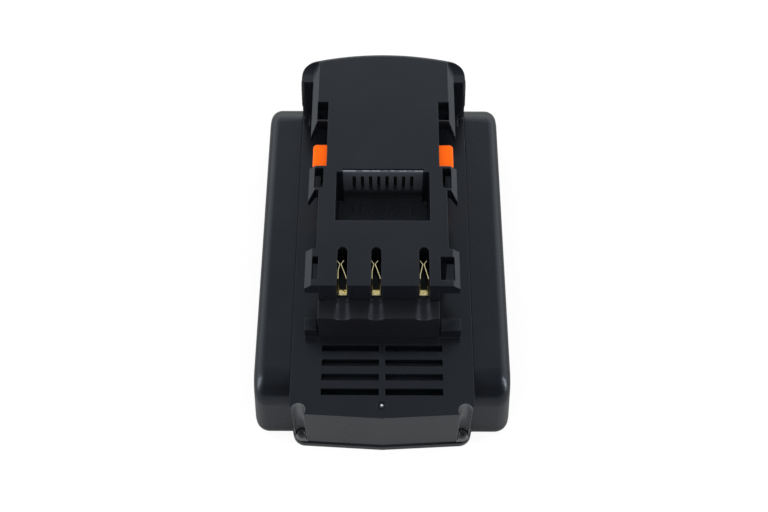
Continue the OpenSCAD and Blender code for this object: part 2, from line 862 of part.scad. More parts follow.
module data_contacts() {
    pin_y0 = recess_y1 + pin_slot_d - touch - pin_t;
    color(GOLD)
        for (i = [0:pin_count - 1])
            translate([pin_x(i) - pin_w / 2, pin_y0, comb_z + sink])
                cube([pin_w, pin_t, cavity_top - slot_end - comb_z - 2 * sink]);
}

// Latches

// Right-hand latch: tongue, slider with its spring spigot, and the arm that the button pushes
module latch() {
    nose_corner = 1.2;
    color(ORANGE) {
        translate([0, 0, latch_z])
            linear_extrude(latch_h) {
                translate([slider_x0, latch_y0])
                    square([latch_reach - slider_x0, latch_w - nose_corner]);
                translate([slider_x0, latch_y0])
                    square([latch_reach - slider_x0 - nose_corner, latch_w]);
                translate([latch_reach - nose_corner, latch_y1 - nose_corner])
                    circle(nose_corner);
            }
        translate([arm_x0, latch_y1 - 1, latch_z])
            cube([arm_w, lug_y0 + lug_l - latch_y1 + 1, latch_h - 1]);
        translate([arm_x0, lug_y0, lug_z])
            cube([arm_w, lug_l, latch_z + 1 - lug_z]);
        translate([slider_x0 - spigot_l, latch_yc, latch_z + latch_h / 2])
            rotate([0, 90, 0])
                cylinder(d = spigot_d, h = spigot_l + eps);
    }
}

module latch_right() {
    latch();
}

module latch_left() {
    mirror([1, 0, 0])
        latch();
}

// Outline of a right-hand release button, grown by g and carried on from x0 to the outside
module button_prism(x0, g) {
    corner = 2.4;
    translate([x0, button_y0 + button_l / 2, button_z + button_h / 2])
        rotate([90, 0, 90])
            linear_extrude(strip_w / 2)
                rounded_rect(button_l + 2 * g, button_h + 2 * g, corner + g);
}

// Right-hand release button: a pad that follows the hood's side, with grip grooves, and a lug that
// meets the latch's arm
module release_button() {
    groove_d = 0.4;
    groove_w = 0.8;
    groove_pitch = 2.2;
    lug_x0 = arm_x0 + arm_w + touch;
    color(PLASTIC) {
        difference() {
            intersection() {
                button_prism(button_back, 0);
                translate([button_proud, 0, 0])
                    hood_form();
            }
            difference() {
                for (i = [-2:2])
                    translate([hood_in, button_y0, button_z + button_h / 2 + i * groove_pitch - groove_w / 2])
                        cube([strip_w, button_l, groove_w]);
                translate([button_proud - groove_d, 0, 0])
                    hood_form();
            }
        }
        translate([lug_x0, lug_y0, lug_z])
            cube([button_back + sink - lug_x0, lug_l, lug_h]);
    }
}

module release_button_right() {
    release_button();
}

module release_button_left() {
    mirror([1, 0, 0])
        release_button();
}

// Right-hand latch spring: one round wire wound along X between the rib and the slider
module latch_spring() {
    sides = 6;
    steps = 10;
    x0 = rib_t / 2 + touch;
    x1 = slider_x0 - touch;
    wire_r = spring_wire / 2;
    coil_r = spring_d / 2 - wire_r;
    run_l = x1 - x0 - spring_wire;
    rings = spring_turns * steps;
    points = [for (k = [0:rings], j = [0:sides - 1])
        let (turn = 360 * k / steps, a = 360 * j / sides, r = coil_r + wire_r * cos(a))
            [x0 + wire_r * (1 + sin(a)) + run_l * k / rings, r * cos(turn), r * sin(turn)]];
    walls = [for (k = [0:rings - 1], j = [0:sides - 1])
        let (a = k * sides + j, b = k * sides + (j + 1) % sides)
            each [[a, b, b + sides], [a, b + sides, a + sides]]];
    ends = [[for (j = [sides - 1:-1:0]) j], [for (j = [0:sides - 1]) rings * sides + j]];
    color(STEEL)
        translate([0, latch_yc, latch_z + latch_h / 2])
            polyhedron(points, concat(walls, ends), convexity = 10);
}

module latch_spring_right() {
    latch_spring();
}

module latch_spring_left() {
    mirror([1, 0, 0])
        latch_spring();
}

// Board and its components

module circuit_board() {
    color([0.1, 0.35, 0.2])
        difference() {
            translate([-board_w / 2, board_y0, board_z])
                cube([board_w, board_y1 - board_y0, board_t]);
            for (sx = SIDES, p = [[post_front_x, post_front_y], [post_rear_x, post_rear_y]])
                translate([sx * p.x, p.y, board_z - eps])
                    cylinder(d = board_screw_d + 2 * run, h = board_t + 2 * eps);
        }
}

module power_transistors() {
    w = 6.6;
    color(DARK)
        for (i = [-1:1])
            translate([i * (w + 2) - w / 2, latch_yc + 1, board_top + touch]) {
                cube([w, 6.2, 2.3]);
                translate([0.7, -2.6, 0])
                    cube([w - 1.4, 2.7, 0.6]);
            }
}

module controller_chip() {
    body = 7;
    color(DARK)
        translate([-body / 2, recess_y0 + 5, board_top + touch]) {
            translate([0, 0, 0.1])
                cube([body, body, 1.1]);
            for (s = [-1, body], i = [0:7])
                translate([0.5 + i * 0.8, s, 0])
                    cube([0.4, 1.2, 0.3]);
        }
}

module sense_resistor() {
    body = [6.3, 3.2, 0.8];
    body_x = 4;
    color(STEEL)
        translate([body_x, latch_y1 + 9, board_top + touch])
            cube(body);
}

module capacitors() {
    can_d = 5;
    can_h = 5.4;
    can_gap = 0.6;
    can_y = post_rear_y - post_r - can_d;
    color([0.25, 0.27, 0.4])
        for (s = SIDES)
            translate([s * (can_d + can_gap) / 2, can_y, board_top + touch])
                cylinder(d = can_d, h = can_h);
}

// Bead that lies in the valley between two cells, with two legs up to the board
module thermistor() {
    bead_r = 1.5;
    valley_y = (cell_y(2) + cell_y(3)) / 2;
    rest = cell_d / 2 + bead_r + seam;
    bead_z = cell_z + sqrt(rest * rest - cell_pitch * cell_pitch / 4);
    bead_x = board_w / 2 - 2.5;
    color(DARK)
        translate([bead_x, valley_y, 0]) {
            translate([0, 0, bead_z])
                rotate([0, 90, 0])
                    cylinder(r = bead_r, h = 8);
            for (dx = [0.6, 1.9])
                translate([dx, 0, bead_z])
                    cylinder(d = 0.6, h = board_z - touch - bead_z);
        }
}

// Cells and what holds and joins them

// One cell along X; its button faces right, or left when turned
module cell(i, turned) {
    button_h = 1;
    color([0.2, 0.45, 0.6])
        translate([0, cell_y(i), cell_z])
            rotate([0, turned ? -90 : 90, 0]) {
                translate([0, 0, -cell_l / 2])
                    cylinder(d = cell_d, h = cell_l - button_h);
                translate([0, 0, cell_l / 2 - button_h - eps])
                    cylinder(d = 9, h = button_h + eps);
            }
}

module cell_1() {
    cell(0, false);
}

module cell_2() {
    cell(1, true);
}

module cell_3() {
    cell(2, false);
}

module cell_4() {
    cell(3, true);
}

module cell_5() {
    cell(4, false);
}

module cell_insulator_rings() {
    color([0.85, 0.85, 0.8])
        for (i = [0:cell_count - 1])
            translate([0, cell_y(i), cell_z])
                rotate([0, i % 2 == 0 ? 90 : -90, 0])
                    translate([0, 0, cell_l / 2 - 0.95])
                        difference() {
                            cylinder(d = cell_d - 0.8, h = 0.2);
                            translate([0, 0, -eps])
                                cylinder(d = 10, h = 1 + eps);
                        }
}

// Right-hand cell frame: a rail with five pockets and a thin end wall with five windows
module cell_frame() {
    x0 = cell_l / 2 - frame_depth;
    low = floor_t + 2 * fit;
    color([0.12, 0.12, 0.13])
        difference() {
            translate([x0, cell_y(0) - cell_pitch / 2 + 0.6, low])
                cube([frame_depth + fit + frame_wall, cell_count * cell_pitch - 1.2, frame_top - low]);
            cell_row(fit);
            for (i = [0:cell_count - 1])
                translate([0, cell_y(i), cell_z])
                    rotate([0, 90, 0])
                        cylinder(d = 13, h = body_w);
        }
}

module cell_frame_right() {
    cell_frame();
}

module cell_frame_left() {
    mirror([1, 0, 0])
        cell_frame();
}

// Weld disc on the end of cell i, on the right
module weld(i) {
    translate([cell_l / 2 + touch, cell_y(i), cell_z])
        rotate([0, 90, 0])
            cylinder(d = weld_d, h = link_x + strip_t / 2 - cell_l / 2);
}

// Nickel link across cells i and i + 1, on the right or, turned, on the left
module link(i, left) {
    color(NICKEL)
        mirror([left ? 1 : 0, 0, 0]) {
            translate([link_x, cell_y(i) - link_end, cell_z - link_w / 2])
                cube([strip_t, cell_pitch + 2 * link_end, link_w]);
            weld(i);
            weld(i + 1);
        }
}

module link_1_2() {
    link(0, false);
}

module link_2_3() {
    link(1, true);
}

module link_3_4() {
    link(2, false);
}

module link_4_5() {
    link(3, true);
}

// Nickel tab that runs from the end of cell i, over the frame and in to the board, at valley y
module tab(i, valley, left) {
    y0 = valley + tab_shift - tab_w / 2;
    y_low = min(cell_y(i) - link_w / 2, y0);
    y_high = max(cell_y(i) + link_w / 2, y0 + tab_w);
    low = cell_z - link_w / 2;
    top = frame_top + seam;
    riser_y0 = max(y0, board_y0);
    color(NICKEL)
        mirror([left ? 1 : 0, 0, 0]) {
            weld(i);
            translate([link_x, y_low, low])
                cube([strip_t, y_high - y_low, link_w]);
            translate([link_x, y0, low])
                cube([strip_t, tab_w, top + strip_t - low]);
            translate([riser_x, y0, top])
                cube([link_x + strip_t - riser_x, tab_w, strip_t]);
            translate([riser_x, riser_y0, top])
                cube([strip_t, y0 + tab_w - riser_y0, board_z - touch - top]);
        }
}

module negative_tab() {
    tab(0, (cell_y(0) + cell_y(1)) / 2, true);
}

module positive_tab() {
    tab(4, (cell_y(3) + cell_y(4)) / 2, false);
}

module insulating_sheet() {
    color([0.8, 0.75, 0.55])
        translate([-riser_x + 1.5, cell_y(1) - 5, cell_z + cell_d / 2 + seam])
            cube([2 * riser_x - 3, 3 * cell_pitch + 10, paper_t - sink]);
}

// Stiff paper sheet over the nickel links at one end of the cell row
module end_sheet() {
    color([0.8, 0.75, 0.55])
        translate([link_x + strip_t + seam, cell_y(0) - 8, floor_t + 1])
            cube([paper_t, (cell_count - 1) * cell_pitch + 16, frame_top - floor_t - 3]);
}

module end_sheet_right() {
    end_sheet();
}

module end_sheet_left() {
    mirror([1, 0, 0])
        end_sheet();
}

// Screws

module nose_screws() {
    color(STEEL)
        for (sx = SIDES)
            translate([sx * channel_x, channel_y, seat_z])
                screw(screw_d, seat_z - 1, screw_head_d, screw_head_h);
}

module rear_screws() {
    color(STEEL)
        for (sx = SIDES)
            translate([sx * rear_screw_x, rear_screw_y, head_seat])
                mirror([0, 0, 1])
                    screw(screw_d, rear_boss_z - screw_head_h - 2.6, screw_head_d, screw_head_h);
}

module board_screws() {
    color(STEEL)
        for (sx = SIDES, p = [[post_front_x, post_front_y], [post_rear_x, post_rear_y]])
            translate([sx * p.x, p.y, board_z])
                mirror([0, 0, 1])
                    screw(board_screw_d, board_screw_l, board_head_d, board_head_h);
}

bottom_tray();
main_housing();
top_cover();
terminal_holder();
terminal_negative();
terminal_sense();
terminal_positive();
data_connector();
data_contacts();
latch_left();
latch_right();
release_button_left();
release_button_right();
latch_spring_left();
latch_spring_right();
circuit_board();
power_transistors();
controller_chip();
sense_resistor();
capacitors();
thermistor();
cell_1();
cell_2();
cell_3();
cell_4();
cell_5();
cell_insulator_rings();
cell_frame_left();
cell_frame_right();
link_1_2();
link_2_3();
link_3_4();
link_4_5();
negative_tab();
positive_tab();
insulating_sheet();
end_sheet_left();
end_sheet_right();
nose_screws();
rear_screws();
board_screws();
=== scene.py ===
"""Gives a slide-on power tool battery pack its finishes, its fine details and a white studio."""

import json
import math

import bmesh
import bpy
from bpy.props import FloatProperty, FloatVectorProperty, PointerProperty
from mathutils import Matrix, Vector


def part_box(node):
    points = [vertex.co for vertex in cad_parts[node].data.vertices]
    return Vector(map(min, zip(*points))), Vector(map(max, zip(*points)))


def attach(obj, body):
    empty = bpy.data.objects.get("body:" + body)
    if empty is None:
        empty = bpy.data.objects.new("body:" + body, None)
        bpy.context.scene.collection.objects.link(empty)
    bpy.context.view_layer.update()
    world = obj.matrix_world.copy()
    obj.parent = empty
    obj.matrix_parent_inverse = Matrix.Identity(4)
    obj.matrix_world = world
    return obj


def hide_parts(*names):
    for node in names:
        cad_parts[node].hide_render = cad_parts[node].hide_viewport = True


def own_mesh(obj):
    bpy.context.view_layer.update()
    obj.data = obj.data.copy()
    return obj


bl_info = {
    "name": "Battery pack finisher",
    "version": (1, 0, 0),
    "blender": (4, 5, 0),
    "location": "3D View > Sidebar > Battery pack",
    "description": "Finishes, fine details and studio for a slide-on power tool battery pack",
    "category": "Object",
}

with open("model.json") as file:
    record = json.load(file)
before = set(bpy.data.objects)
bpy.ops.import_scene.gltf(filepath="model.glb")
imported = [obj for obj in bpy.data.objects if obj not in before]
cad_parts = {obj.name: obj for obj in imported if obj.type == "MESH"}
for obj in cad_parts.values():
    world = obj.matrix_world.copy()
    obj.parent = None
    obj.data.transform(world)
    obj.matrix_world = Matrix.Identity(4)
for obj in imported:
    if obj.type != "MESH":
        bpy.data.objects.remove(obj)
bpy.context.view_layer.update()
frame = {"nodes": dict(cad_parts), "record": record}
NODES = frame["nodes"]
MM = 0.001
# Faces that meet at a larger angle than this keep a crisp edge
SHARP_EDGE = math.radians(35)
# Black pigment turns the gloss of plastic slightly blue
BLUE_GLOSS = (0.78, 0.87, 1.0, 1.0)
PLASTIC_IOR = 1.5
WHITE = (1, 1, 1, 1)
# The picture width in millimetres that the camera's focal length is given for
SENSOR_WIDTH = 36

# Each power contact: where its leaves pinch beside the middle, and where its left and right leaf bend, in mm
SPRINGS = {
    "terminal_negative": (-0.6, 4.8, 2.5),
    "terminal_sense": (-0.5, 4.8, 2.4),
    "terminal_positive": (-0.2, 3.4, 2.2),
}

# Each soft box: its name, place, the point it faces, its width and height in metres, and its power in watts
LAMPS = [
    ("left_box", (-0.86, -0.3, 0.36), (0.0, 0.0, 0.02), (0.16, 0.8), 4.5),
    ("right_box", (0.86, -0.3, 0.36), (0.0, 0.0, 0.02), (0.16, 0.8), 4.5),
]


def linear(code):
    """Turns an sRGB hex colour such as #ff6a1b into linear red, green and blue."""
    shares = [int(code[i:i + 2], 16) / 255 for i in (1, 3, 5)]
    return tuple(s / 12.92 if s <= 0.04045 else ((s + 0.055) / 1.055) ** 2.4 for s in shares)


def colour(name, code, description):
    """A colour that a user can change, given as an sRGB hex value."""
    return FloatVectorProperty(
        name=name, description=description, subtype="COLOR", size=3, min=0, max=1, default=linear(code)
    )


def length(name, millimetres, description):
    """A length that a user can change, given in millimetres."""
    return FloatProperty(
        name=name, description=description, subtype="DISTANCE", unit="LENGTH", default=millimetres * MM
    )


def angle(name, degrees, description):
    """An angle that a user can change, given in degrees."""
    return FloatProperty(
        name=name, description=description, subtype="ANGLE", unit="ROTATION", default=math.radians(degrees)
    )


class PackFinish(bpy.types.PropertyGroup):
    """Colours and edge sizes of the pack's pieces."""

    housing: colour("Housing", "#0e1014", "Body and tray plastic")
    cover: colour("Cover", "#0e1014", "Top cover and release button plastic")
    # A painted reflection on the walls of the screw channels
    channel_reflection: colour("Channel reflection", "#4a4c4e", "Walls of the screw channels")
    stub: colour("Stub", "#c0c1c4", "Broken plastic where the mould was filled")
    holder: colour("Holder", "#121216", "Block that carries the power contacts, and the cell frames")
    socket: colour("Socket", "#222428", "Signal socket and its comb")
    # A painted highlight in broken stretches along the rim of the signal socket
    lip_glint: colour("Lip glint", "#5c5e61", "Chipped rim of the signal socket")
    latch: colour("Latch", "#ff6400", "Latch tongues")
    contact: colour("Contact", "#fff4c0", "Plated spring contacts")
    steel: colour("Steel", "#c2c3c6", "Plated springs")
    screw: colour("Screw", "#8a8b8e", "Blackened screws")
    tin: colour("Tin", "#77787a", "Signal contacts")
    nickel: colour("Nickel", "#cbc5b6", "Strip that joins the cells")
    mask: colour("Solder mask", "#0d4a2a", "Lacquer on the circuit board")
    component: colour("Component", "#141416", "Moulded bodies on the circuit board")
    sleeve: colour("Sleeve", "#15171b", "Shrunk sleeve of the cells")
    fibre: colour("Fibre", "#b9a878", "Insulating sheets and rings")
    shell_edge: length("Shell edge", 0.5, "Rounding of the housing's edges")
    cover_edge: length("Cover edge", 0.3, "Rounding of the edges of the top cover and the latches")
    small_edge: length("Small edge", 0.15, "Rounding of small mouldings and contacts")
    tray_edge: length("Tray edge", 0.4, "Rounding of the tray's edges")


class PackStage(bpy.types.PropertyGroup):
    """Camera and floor."""

    camera_place: FloatVectorProperty(
        name="Camera place",
        description="Where the camera stands",
        subtype="TRANSLATION",
        unit="LENGTH",
        default=(0.00114, -0.1823, 0.332),
    )
    camera_turn: angle("Camera turn", 0.24, "How far the camera is turned about the upright axis")
    camera_tilt: angle("Camera tilt", 30, "Angle of the camera from looking straight down")
    lens: FloatProperty(name="Lens", description="Focal length in millimetres", unit="CAMERA", default=52.9)
    floor: colour("Floor", "#f6f6f6", "Photo paper under the pack")


def add(tree, kind, inputs=None, **settings):
    """Adds a node of this kind with its settings, and fills or links its inputs."""
    node = tree.nodes.new(kind)
    for name, value in settings.items():
        setattr(node, name, value)
    for name, value in (inputs or {}).items():
        socket = node.inputs[name]
        if isinstance(value, bpy.types.NodeSocket):
            tree.links.new(value, socket)
        else:
            socket.default_value = value
    return node


def per_metre(millimetres):
    """The texture scale at which one feature of a pattern is this many millimetres wide."""
    return 1 / (millimetres * MM)


def new_material(name):
    """An empty node material and its tree."""
    material = bpy.data.materials.new(name)
    material.use_nodes = True
    material.node_tree.nodes.clear()
    return material, material.node_tree


def close_material(tree, surface):
    """Links the finished surface to the output."""
    add(tree, "ShaderNodeOutputMaterial", {"Surface": surface.outputs[0]})


def painted_channel_reflection(tree, place, axis, radius):
    """A painted reflection that lightens the walls of two channels: close to a pair of upright axes."""
    blur = 0.1 * MM
    mirrored = add(tree, "ShaderNodeVectorMath", {0: place}, operation="ABSOLUTE").outputs[0]
    across = add(tree, "ShaderNodeSeparateXYZ", {0: mirrored}).outputs["X"]
    along = add(tree, "ShaderNodeSeparateXYZ", {0: place}).outputs["Y"]
    plan = add(tree, "ShaderNodeCombineXYZ", {"X": across, "Y": along}).outputs[0]
    away = add(tree, "ShaderNodeVectorMath", {0: plan, 1: axis}, operation="DISTANCE").outputs["Value"]
    return add(tree, "ShaderNodeMapRange", {
        "Value": away, "From Min": radius, "From Max": radius + blur, "To Min": 1.0, "To Max": 0.0,
    }).outputs[0]


def painted_lip_glints(tree, place, start):
    """A painted highlight along an upper rim: in broken stretches above a height."""
    blur = 0.1 * MM
    stretch = 1.6
    height = add(tree, "ShaderNodeSeparateXYZ", {0: place}).outputs["Z"]
    above = add(tree, "ShaderNodeMapRange", {
        "Value": height, "From Min": start, "From Max": start + blur,
    }).outputs[0]
    breaks = add(tree, "ShaderNodeTexNoise", {"Vector": place, "Scale": per_metre(stretch), "Detail": 3.0})
    left = add(tree, "ShaderNodeMapRange", {
        "Value": breaks.outputs["Fac"], "From Min": 0.42, "From Max": 0.58,
    }).outputs[0]
    return add(tree, "ShaderNodeMath", {0: above, 1: left}, operation="MULTIPLY").outputs[0]


def moulded_plastic(
    name, tint, roughness, grain, depth, edge,
    wear_and_highlight_share=0.35, wear_and_highlight_lift=0.03, painted_light_above=(0.0, 1.0, 1.0), gloss=0.5, painted_light_marks=None,
):
    """Plastic moulded against an etched steel tool.

    The etching leaves a fine even grain that spreads the highlights, and handling polishes it in soft patches.
    The real grain is about 0.1 mm and would not show, so it is drawn at the size given, in millimetres.
    Edges are paler, from real rubbing and as a painted highlight: scuff is how pale, and worn is how much of
    it shows.
    Above a height it may be painted paler, as painted light: the values are where that starts, where it is
    full, and how much.
    marks holds a function that finds where light is painted on, the painted colour there, and the sizes that
    the function takes.
    """
    patch = 14
    rough_spread = 0.05
    material, tree = new_material(name)
    place = add(tree, "ShaderNodeTexCoord").outputs["Object"]
    pits = add(tree, "ShaderNodeTexNoise", {"Vector": place, "Scale": per_metre(grain), "Detail": 3.0})
    patches = add(tree, "ShaderNodeTexNoise", {"Vector": place, "Scale": per_metre(patch), "Detail": 4.0})
    rounded = add(tree, "ShaderNodeBevel", {"Radius": edge}, samples=4)
    flat = add(tree, "ShaderNodeNewGeometry").outputs["Normal"]
    turn = add(tree, "ShaderNodeVectorMath", {0: rounded.outputs[0], 1: flat}, operation="DOT_PRODUCT")
    # Paler edges: partly real rubbing, partly a painted highlight
    worn_and_lit_edges = add(tree, "ShaderNodeMapRange", {
        "Value": turn.outputs["Value"], "From Min": 1.0, "From Max": 0.8, "To Min": 0.0, "To Max": wear_and_highlight_share,
    })
    height = add(tree, "ShaderNodeSeparateXYZ", {0: place}).outputs["Z"]
    # Painted light: paler above a height
    start, full, gain = painted_light_above
    painted_light_gain = add(tree, "ShaderNodeMapRange", {
        "Value": height, "From Min": start, "From Max": full, "To Min": 1.0, "To Max": gain,
    })
    shade = add(tree, "ShaderNodeMapRange", {"Value": patches.outputs["Fac"], "To Min": 0.9, "To Max": 1.1})
    tone = add(tree, "ShaderNodeMath", {0: painted_light_gain.outputs[0], 1: shade.outputs[0]}, operation="MULTIPLY")
    base = add(tree, "ShaderNodeVectorMath", {0: tint, "Scale": tone.outputs[0]}, operation="SCALE")
    # Painted light in given places, such as the painted channel reflection and the painted rim highlight
    if painted_light_marks:
        where, pale, *sizes = painted_light_marks
        base = add(tree, "ShaderNodeVectorMath", {
            0: where(tree, place, *sizes), 1: pale, 2: base.outputs[0],
        }, operation="MULTIPLY_ADD")
    skin = add(tree, "ShaderNodeMix", {
        "Factor": worn_and_lit_edges.outputs[0], 6: base.outputs[0], 7: (*(c + wear_and_highlight_lift for c in tint), 1.0),
    }, data_type="RGBA")
    rough = add(tree, "ShaderNodeMapRange", {
        "Value": patches.outputs["Fac"], "From Min": 0.3, "From Max": 0.7,
        "To Min": roughness - rough_spread, "To Max": roughness + rough_spread,
    })
    bump = add(tree, "ShaderNodeBump", {
        "Height": pits.outputs["Fac"], "Distance": depth, "Strength": 1.0, "Normal": rounded.outputs[0],
    })
    close_material(tree, add(tree, "ShaderNodeBsdfPrincipled", {
        "Base Color": skin.outputs[2], "Roughness": rough.outputs[0], "Normal": bump.outputs[0],
        "IOR": PLASTIC_IOR, "Specular Tint": BLUE_GLOSS, "Specular IOR Level": gloss,
    }))
    return material


def plated_metal(name, tint, roughness, scratch, edge, dents=0.0):
    """Sheet or wire that was rolled and plated: mirror-like, with fine drawn lines and a few dull patches.

    scratch is the width of the drawn lines in millimetres, and they run along the pack.
    dents is the depth of the shallow waves that pressing leaves, which break up the reflections.
    """
    wave = 1.2
    patch = 3
    line_depth = 0.01 * MM
    material, tree = new_material(name)
    place = add(tree, "ShaderNodeTexCoord").outputs["Object"]
    stretched = add(tree, "ShaderNodeMapping", {"Vector": place, "Scale": (1.0, 0.15, 1.0)})
    lines = add(tree, "ShaderNodeTexNoise", {
        "Vector": stretched.outputs[0], "Scale": per_metre(scratch), "Detail": 2.0,
    })
    waves = add(tree, "ShaderNodeTexNoise", {"Vector": place, "Scale": per_metre(wave), "Detail": 1.0})
    dull = add(tree, "ShaderNodeTexNoise", {"Vector": place, "Scale": per_metre(patch), "Detail": 3.0})
    shade = add(tree, "ShaderNodeMapRange", {"Value": dull.outputs["Fac"], "To Min": 0.85, "To Max": 1.1})
    base = add(tree, "ShaderNodeVectorMath", {0: tint, "Scale": shade.outputs[0]}, operation="SCALE")
    rough = add(tree, "ShaderNodeMapRange", {
        "Value": dull.outputs["Fac"], "To Min": roughness * 0.6, "To Max": roughness * 1.5,
    })
    rounded = add(tree, "ShaderNodeBevel", {"Radius": edge}, samples=4)
    pressed = add(tree, "ShaderNodeBump", {
        "Height": waves.outputs["Fac"], "Distance": dents, "Strength": 1.0, "Normal": rounded.outputs[0],
    })
    bump = add(tree, "ShaderNodeBump", {
        "Height": lines.outputs["Fac"], "Distance": line_depth, "Strength": 1.0, "Normal": pressed.outputs[0],
    })
    close_material(tree, add(tree, "ShaderNodeBsdfPrincipled", {
        "Base Color": base.outputs[0], "Metallic": 1.0, "Roughness": rough.outputs[0],
        "Normal": bump.outputs[0],
    }))
    return material


def dress(material, *names):
    """Gives CAD nodes a material in place of their own."""
    for name in names:
        NODES[name].data.materials.clear()
        NODES[name].data.materials.append(material)


def joined_skin():
    """A modifier group that joins split corners, and shades smooth wherever faces meet at a small angle."""
    group = bpy.data.node_groups.get("joined_skin")
    if group:
        return group
    same_point = 0.001 * MM
    group = bpy.data.node_groups.new("joined_skin", "GeometryNodeTree")
    for way in ("INPUT", "OUTPUT"):
        group.interface.new_socket("Geometry", in_out=way, socket_type="NodeSocketGeometry")
    step = add(group, "NodeGroupInput").outputs[0]
    step = add(group, "GeometryNodeMergeByDistance", {"Geometry": step, "Distance": same_point}).outputs[0]
    for attribute in ("custom_normal", "sharp_face", "sharp_edge"):
        step = add(group, "GeometryNodeRemoveAttribute", {"Geometry": step, "Name": attribute}).outputs[0]
    step = add(group, "GeometryNodeSetShadeSmooth", {"Geometry": step, "Shade Smooth": True}).outputs[0]
    turn = add(group, "GeometryNodeInputMeshEdgeAngle").outputs["Unsigned Angle"]
    sharp = add(group, "FunctionNodeCompare", {0: turn, 1: SHARP_EDGE}, operation="GREATER_THAN")
    step = add(group, "GeometryNodeSetShadeSmooth", {
        "Geometry": step, "Selection": sharp.outputs[0], "Shade Smooth": False,
    }, domain="EDGE").outputs[0]
    add(group, "NodeGroupOutput", {0: step})
    return group


def soften(radius, *names):
    """Shades flat faces flat and round ones round, and rounds sharp edges where a radius is given."""
    for name in names:
        piece = NODES.get(name) or bpy.data.objects[name]
        piece.modifiers.new("joined_skin", "NODES").node_group = joined_skin()
        if radius:
            flat = piece.modifiers.new("whole_faces", "DECIMATE")
            flat.decimate_type = "DISSOLVE"
            flat.angle_limit = math.radians(0.3)
            edge = piece.modifiers.new("rounded_edges", "BEVEL")
            edge.width = radius
            edge.segments = 2
            edge.limit_method = "ANGLE"
            edge.angle_limit = SHARP_EDGE
            edge.use_clamp_overlap = False
            edge.miter_outer = "MITER_ARC"
        piece.modifiers.new("true_shading", "WEIGHTED_NORMAL").keep_sharp = True


def sweep(mesh, rings):
    """Adds a closed strip or wire: each ring holds the corners of one cross-section, in metres."""
    rows = [[mesh.verts.new(corner) for corner in ring] for ring in rings]
    for near, far in zip(rows, rows[1:]):
        for i in range(len(near)):
            j = (i + 1) % len(near)
            mesh.faces.new((near[i], near[j], far[j], far[i]))
    mesh.faces.new(rows[0][::-1])
    mesh.faces.new(rows[-1])


def new_piece(name, mesh, material):
    """A mesh made here, carried by the pack, with the material given."""
    bmesh.ops.recalc_face_normals(mesh, faces=mesh.faces)
    data = bpy.data.meshes.new(name)
    mesh.to_mesh(data)
    mesh.free()
    data.materials.append(material)
    piece = bpy.data.objects.new(name, data)
    bpy.context.scene.collection.objects.link(piece)
    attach(piece, "pack")
    return piece


def leaf_rings(path, thickness, top, fall, heights):
    """Cross-sections of an upright spring leaf along a path in plan; its top falls off to the rear."""
    rings = []
    for i, (x, y) in enumerate(path):
        before = Vector(path[max(i - 1, 0)])
        after = Vector(path[min(i + 1, len(path) - 1)])
        along = (after - before).normalized()
        side = Vector((-along.y, along.x)) * thickness / 2
        crest = top - (y - path[0][1]) * fall
        foot = crest - heights[i]
        rings.append([
            (x - side.x, y - side.y, foot), (x + side.x, y + side.y, foot),
            (x + side.x, y + side.y, crest), (x - side.x, y - side.y, crest),
        ])
    return rings


def spring_contact(name, pinch_x, left_bend, right_bend, material):
    """A pressed contact as it was fitted: two leaves bent together to one side and flared, on a foot.

    The three lengths are in millimetres from the middle of the contact's foot at its front edge.
    """
    low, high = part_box(name)
    middle, front, crest = (low[0] + high[0]) / 2, low[1], high[2]
    mesh = bmesh.new()
    # The leaves: half their spread at the root, thickness, where they start, pinch and end, and their flare
    half, leaf, root = 1.2 * MM, 0.3 * MM, 2.0 * MM
    pinch_y, tip_y, flare, gap = 7.1 * MM, 8.4 * MM, 1.0 * MM, 0.18 * MM
    rise, fall = 1.0 * MM, 0.08
    heights = [7 * MM, 6 * MM, 2.6 * MM, 2.2 * MM]
    for side, bend in ((-1, left_bend), (1, right_bend)):
        plan = [
            (side * half, root), (side * half, bend * MM), (pinch_x * MM + side * gap, pinch_y),
            (pinch_x * MM + side * flare, tip_y),
        ]
        path = [(middle + x, front + y) for x, y in plan]
        sweep(mesh, leaf_rings(path, leaf, crest + rise, fall, heights))
    # The foot's side view: a front edge that is turned down a little, and a flat that dips to the rear
    ledge, sheet, width = crest - 6.6 * MM, 0.35 * MM, 1.35 * MM
    profile = [(0.2, 0.55), (0.5, 0.66), (2.2, 0.54)]
    rings = []
    for along, up in profile:
        y, z = front + along * MM, ledge + up * MM
        rings.append([
            (middle - width, y, z - sheet), (middle + width, y, z - sheet),
            (middle + width, y, z), (middle - width, y, z),
        ])
    sweep(mesh, rings)
    # The solder blade below the foot
    blade, near, far = 1.1 * MM, front + 1.5 * MM, front + 2.3 * MM
    sweep(mesh, [[
        (middle - blade, near, z), (middle + blade, near, z),
        (middle + blade, far, z), (middle - blade, far, z),
    ] for z in (low[2], ledge + 0.2 * MM)])
    piece = new_piece(name.replace("terminal", "contact"), mesh, material)
    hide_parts(name)
    return piece.name


def coil_spring(name, material):
    """A wound latch spring at one length, filling the box of the CAD spring."""
    low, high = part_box(name)
    wire_r, turns, steps, sides = 0.25 * MM, 6, 24, 8
    radius = (high[1] - low[1]) / 2 - wire_r
    middle_y, middle_z = (low[1] + high[1]) / 2, (low[2] + high[2]) / 2
    run = high[0] - low[0] - 2 * wire_r
    rings = []
    for k in range(turns * steps + 1):
        turn = math.tau * k / steps
        ring = []
        for j in range(sides):
            a = math.tau * j / sides
            out = radius + wire_r * math.cos(a)
            x = low[0] + wire_r * (1 + math.sin(a)) + run * k / (turns * steps)
            ring.append((x, middle_y + out * math.cos(turn), middle_z + out * math.sin(turn)))
        rings.append(ring)
    mesh = bmesh.new()
    sweep(mesh, rings)
    piece = new_piece(name.replace("spring", "coil"), mesh, material)
    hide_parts(name)
    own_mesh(piece)
    return piece.name


